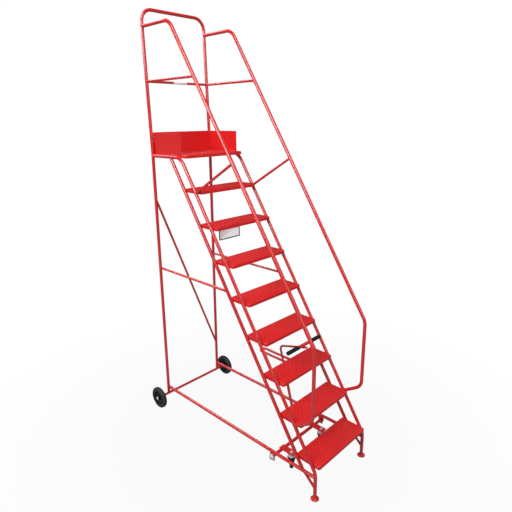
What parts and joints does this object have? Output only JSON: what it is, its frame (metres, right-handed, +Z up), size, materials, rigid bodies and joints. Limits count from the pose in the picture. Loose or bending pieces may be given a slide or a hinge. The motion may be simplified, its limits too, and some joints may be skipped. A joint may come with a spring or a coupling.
{
  "type": "mobile ladder stand",
  "caption": "Mobile ladder stand in red tube: steep folded treads, guarded platform with toe boards, handrails, rear wheels and front castors lowered by a T-bar lever.",
  "frame": {"origin": "centre of the bounding box on the floor", "axes": "+Z up, -Y towards the climbing side, +X to the right seen from the front"},
  "size_m": [0.8526, 1.801, 3.2995],
  "materials": {
    "red_paint": "smooth glossy powder coat",
    "rubber_tyre": "matt moulded rubber",
    "castor_rubber": "matt moulded rubber",
    "black_plastic": "moulded wheel centre",
    "black_metal": "black paint",
    "grip_rubber": "ribbed soft grip",
    "zinc_steel": "bright zinc plate",
    "white_plastic": "plain white plate"
  },
  "bodies": {
    "frame": {"left_front_stringer": "red_paint", "right_front_stringer": "red_paint", "left_rear_stringer": "red_paint", "right_rear_stringer": "red_paint", "left_base_rail": "red_paint", "right_base_rail": "red_paint", "left_leg_gusset": "red_paint", "right_leg_gusset": "red_paint", "left_handrail": "red_paint", "right_handrail": "red_paint", "left_handrail_strut": "red_paint", "right_handrail_strut": "red_paint", "left_mid_brace": "red_paint", "right_mid_brace": "red_paint", "left_rear_leg": "red_paint", "right_rear_leg": "red_paint", "rear_guard_hoop": "red_paint", "left_knee_rail": "red_paint", "right_knee_rail": "red_paint", "rear_knee_rail": "red_paint", "rear_diagonal_brace": "red_paint", "rear_axle_tube": "red_paint", "axle_pins": "zinc_steel", "left_foot": "red_paint", "right_foot": "red_paint", "tread_1": "red_paint", "tread_2": "red_paint", "tread_3": "red_paint", "tread_4": "red_paint", "tread_5": "red_paint", "tread_6": "red_paint", "tread_7": "red_paint", "tread_8": "red_paint", "platform": "red_paint", "left_toe_board": "red_paint", "right_toe_board": "red_paint", "rear_toe_board": "red_paint", "toe_board_screws": "zinc_steel", "sign_plate": "white_plastic", "left_shaft_bracket": "red_paint", "right_shaft_bracket": "red_paint", "lever_guide": "red_paint"},
    "lever": {"lift_shaft": "red_paint", "left_castor_plate": "red_paint", "right_castor_plate": "red_paint", "lever_tube": "red_paint", "lever_arm": "red_paint", "lever_cross_bar": "red_paint", "lever_grips": "grip_rubber", "shaft_nuts": "zinc_steel", "castor_bolts": "zinc_steel"},
    "left_castor_swivel": {"left_castor_fork": "black_metal"},
    "right_castor_swivel": {"right_castor_fork": "black_metal"},
    "left_castor_roller": {"left_castor_wheel": "castor_rubber"},
    "right_castor_roller": {"right_castor_wheel": "castor_rubber"},
    "left_rear_wheel": {"left_rear_tyre": "rubber_tyre", "left_rear_hub": "black_plastic"},
    "right_rear_wheel": {"right_rear_tyre": "rubber_tyre", "right_rear_hub": "black_plastic"}
  },
  "joints": [
    {"name": "castor_lift", "type": "hinge", "parent": "frame", "child": "lever", "pos_m": [0, -0.4825, 0.134], "axis": [-1, 0, 0], "range_deg": [0, 15]},
    {"name": "left_castor_swivel", "type": "hinge", "parent": "lever", "child": "left_castor_swivel", "pos_m": [-0.182, -0.5705, 0], "axis": [0, 0, 1], "continuous": true},
    {"name": "left_castor_roll", "type": "hinge", "parent": "left_castor_swivel", "child": "left_castor_roller", "pos_m": [-0.1622, -0.5507, 0.05], "axis": [0.7071, -0.7071, 0], "continuous": true},
    {"name": "left_rear_wheel_roll", "type": "hinge", "parent": "frame", "child": "left_rear_wheel", "pos_m": [-0.397, 0.8055, 0.095], "axis": [1, 0, 0], "continuous": true},
    {"name": "right_castor_swivel", "type": "hinge", "parent": "lever", "child": "right_castor_swivel", "pos_m": [0.182, -0.5705, 0], "axis": [0, 0, 1], "continuous": true},
    {"name": "right_castor_roll", "type": "hinge", "parent": "right_castor_swivel", "child": "right_castor_roller", "pos_m": [0.2018, -0.5507, 0.05], "axis": [0.7071, -0.7071, 0], "continuous": true},
    {"name": "right_rear_wheel_roll", "type": "hinge", "parent": "frame", "child": "right_rear_wheel", "pos_m": [0.397, 0.8055, 0.095], "axis": [1, 0, 0], "continuous": true}
  ]
}
